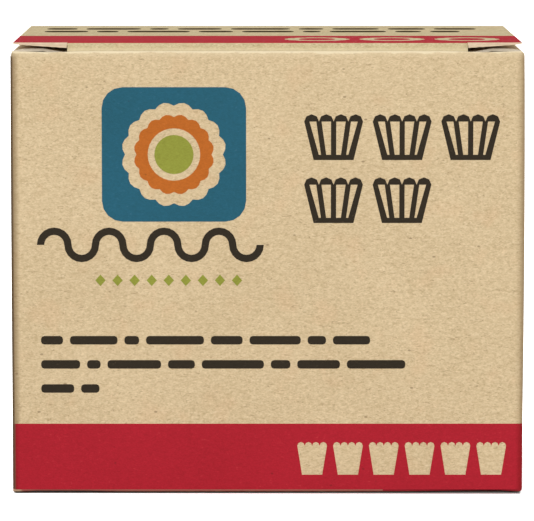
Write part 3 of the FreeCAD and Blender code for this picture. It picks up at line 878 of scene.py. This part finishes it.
# Crease between the back panel and the lid

def crease_rows():
    radius = LID_TOP - hinge.z
    profile = [(BACK, z) for z in spread(BACK_TOP, LID_TOP - radius, 5)]
    profile += [(BACK - radius + radius * math.cos(turn), LID_TOP - radius + radius * math.sin(turn))
                for turn in spread(0.0, math.pi / 2, CREASE_STEPS)[1:]]
    profile += [(y, LID_TOP) for y in spread(BACK - radius, BACK - CREASE, 3)[1:]]
    halves = spread(LID_HALF, FLAT_HALF, len(profile) - 1)
    return [[(x, y, z) for x in spread(half, -half, CREASE_PARTS)]
            for half, (y, z) in zip(halves, profile[::-1])]


crease = board_piece("hinge_fold", [crease_rows()], (kraft, kraft_inside, cut_edge))
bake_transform(crease)


# Liners, nested with their bases to the front

def add_liner(mesh, first_y, index, dice):
    """One fluted cup: its rim is pressed to an oval by the carton."""
    centre = (stack_low.z + stack_high.z) / 2
    half_x = stack_high.x - CLEARANCE
    half_z = (stack_high.z - stack_low.z) / 2 - CLEARANCE
    count = FLUTES * FLUTE_STEPS
    slack = dice.uniform(-LINER_SLACK, LINER_SLACK)
    pressed = dice.uniform(0.0, LINER_PRESS)
    rows = []
    for share in CUP_SHARES:
        deep = BASE_FLUTE + (RIM_FLUTE - BASE_FLUTE) * share
        row = []
        for step in range(count):
            angle = 2 * math.pi * step / count
            wave = 1 - abs(2 * (step % FLUTE_STEPS) / FLUTE_STEPS - 1)
            around = (math.cos(angle) * DENT_SIZE, math.sin(angle) * DENT_SIZE)
            soft = noise.noise(Vector((*around, index * DENT_DRIFT)))
            inset = deep * wave + share * (pressed + DENT * max(0.0, soft))
            x = CUP_BASE + (half_x - CUP_BASE) * share - inset
            z = CUP_BASE + (half_z - CUP_BASE) * share - inset
            y = first_y + CUP_HEIGHT * share + share * (slack + DENT_WAVE * soft)
            row.append((x * math.cos(angle), y, centre + z * math.sin(angle)))
        rows.append(row)
    made = add_points(mesh, rows)
    for lower, upper in zip(made, made[1:]):
        for step in range(count):
            after = (step + 1) % count
            mesh.faces.new((lower[step], lower[after], upper[after], upper[step]))
    middle = mesh.verts.new(Vector((0, first_y + CUP_DISH, centre)) * MM)
    for step in range(count):
        mesh.faces.new((made[0][(step + 1) % count], made[0][step], middle))


liner_dice = random.Random(11)
liner_mesh = bmesh.new()
pitch = (stack_high.y - CLEARANCE - CUP_HEIGHT - stack_low.y) / (LINERS - 1)
for liner in range(LINERS):
    add_liner(liner_mesh, stack_low.y + LINER_START + pitch * liner, liner, liner_dice)
liners = piece_of("liners", liner_mesh, [liner_paper()])
liners.data.shade_smooth()
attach(liners, "carton")
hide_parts("liner_stack")


# Stage, lights and camera

FLOOR_HALF = 3.0                # metres
FLOOR_DROP = 0.15               # the floor lies this far under the carton
FLOOR_GREY = 0.45               # what the floor gives back to the object
FLOOR_SEEN = 2.4                # what the camera sees: white in the light, dark in the object's shadow
PAINTED_SHADOW_MARGIN = 0.5                   # how far before the carton the floor keeps its own grey for the camera too: a painted contact shadow
PAINTED_SHADOW_SLANT = 0.01            # it reaches further to the right
WORLD_LIGHT = 0.47              # what the world gives to the object
WORLD_SEEN = 1.0

# Lights: name, place in metres, width, height and power in watts
LIGHTS = (
    ("key", (-0.25, -1.35, 0.66), 1.0, 0.8, 11.4),
    ("fill", (1.0, -0.75, 0.5), 0.8, 0.8, 4.0),
    ("back_left", (-1.15, 0.85, 0.45), 0.8, 0.8, 5.0),
    ("back_right", (1.15, 0.95, 0.45), 0.8, 0.8, 5.0),
    ("rim", (-0.2, 1.2, 0.9), 1.0, 0.8, 2.5),
)
LIGHT_TARGET = Vector((0, 0, 0.04))

CAMERA_PLACE = Vector((-0.76, -699.85, 111.3)) * MM
CAMERA_DOWN = 0.10782           # how far it looks down and is rolled, in radians
CAMERA_ROLL = -0.001
LENS = 278.3
SENSOR = 36.0


def floor_material():
    """A matte grey floor that the camera sees as white, apart from a painted contact shadow along the line
    where the carton meets it.
    """
    shader = Shader("white_floor")
    beside = shader.less(shader.across, HALF - PAINTED_SHADOW_MARGIN)
    behind = shader.less(shader.y, BACK - PAINTED_SHADOW_MARGIN)
    before = shader.less(FRONT, shader.add(shader.y, shader.times(shader.x, PAINTED_SHADOW_SLANT)))
    # painted contact shadow: near the carton the camera sees the floor's grey instead of white
    open_floor = shader.ramp(shader.largest(beside, behind, before), 0.0, PAINTED_SHADOW_MARGIN)
    seen = shader.times(shader.seen_rays(), open_floor)
    tone = shader.node("MapRange", Value=seen, To_Min=FLOOR_GREY, To_Max=FLOOR_SEEN)
    matte = shader.node("BsdfDiffuse", Color=tone.outputs["Result"])
    shader.plug(shader.tree.nodes["Material Output"].inputs["Surface"], matte.outputs[0])
    shader.tree.nodes.remove(shader.surface)
    return shader.material


floor_mesh = bpy.data.meshes.new("floor")
floor_corners = [(x * FLOOR_HALF, y * FLOOR_HALF, -FLOOR_DROP * MM)
                 for x, y in ((-1, -1), (1, -1), (1, 1), (-1, 1))]
floor_mesh.from_pydata(floor_corners, [], [(0, 1, 2, 3)])
floor_mesh.materials.append(floor_material())
floor = linked("floor", floor_mesh)

world = bpy.data.worlds.new("studio")
bpy.context.scene.world = world
world.use_nodes = True
studio = Nodes(world.node_tree)
background = world.node_tree.nodes["Background"]
background.inputs["Color"].default_value = (1, 1, 1, 1)
level = studio.node("MapRange", Value=studio.seen_rays(), To_Min=WORLD_LIGHT, To_Max=WORLD_SEEN)
studio.plug(background.inputs["Strength"], level.outputs["Result"])

for light_name, place, width, height, power in LIGHTS:
    light_data = bpy.data.lights.new(light_name, "AREA")
    light_data.shape = "RECTANGLE"
    light_data.size = width
    light_data.size_y = height
    light_data.energy = power
    light = linked(light_name, light_data)
    light.location = place
    light.rotation_mode = "QUATERNION"
    light.rotation_quaternion = (LIGHT_TARGET - Vector(place)).to_track_quat("-Z", "Y")

camera_data = bpy.data.cameras.new("camera")
camera_data.sensor_width = SENSOR
camera_data.lens = LENS
camera_data.clip_start = 0.01
camera_data.clip_end = 20.0
camera = linked("camera", camera_data)
camera.location = CAMERA_PLACE
camera.rotation_euler = (math.pi / 2 - CAMERA_DOWN, 0, CAMERA_ROLL)

scene = bpy.context.scene
bpy.context.scene.camera = camera
scene.view_settings.view_transform = "Standard"

bpy.context.view_layer.update()
